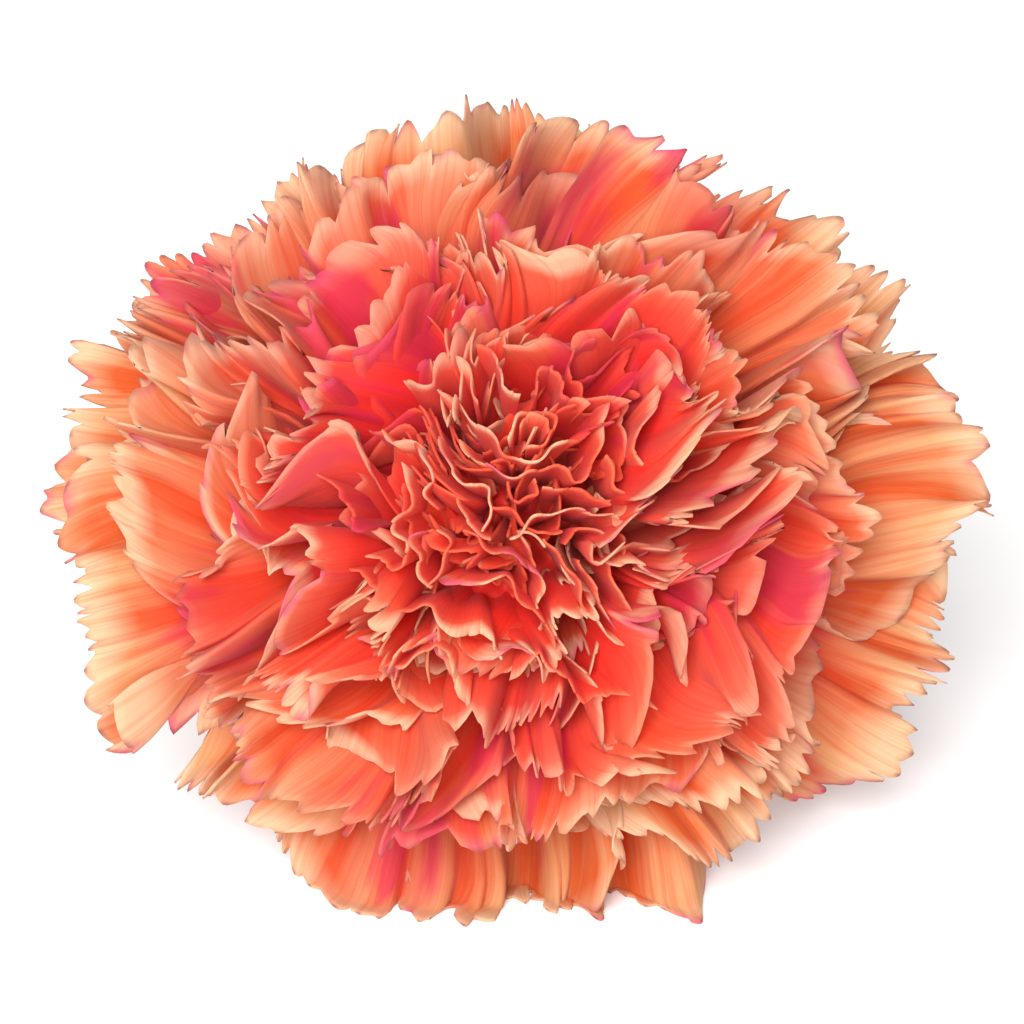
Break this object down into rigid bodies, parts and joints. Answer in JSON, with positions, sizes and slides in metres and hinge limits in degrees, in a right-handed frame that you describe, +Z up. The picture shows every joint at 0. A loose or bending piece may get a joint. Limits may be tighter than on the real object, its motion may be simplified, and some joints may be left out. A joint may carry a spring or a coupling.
{
  "type": "cut carnation",
  "caption": "Carnation cut short and laid down: a double bloom of ruffled, toothed petals in a toothed calyx, with bracts and a slanted stub of stem.",
  "frame": {"origin": "middle of the bounding box at the height of the table that the flower lies on", "axes": "+Z up from the table; the bloom faces -Y and up; the stem points towards +Y; +X is the bloom's right side as seen from in front"},
  "size_m": [0.0804, 0.0687, 0.0605],
  "materials": {
    "petal": "matte",
    "calyx": "satin",
    "bract": "satin",
    "pistil": "satin",
    "stem": "satin"
  },
  "bodies": {
    "root": {"petals": "petal", "calyx": "calyx", "bracts": "bract", "pistil": "pistil", "stem": "stem"}
  },
  "joints": []
}
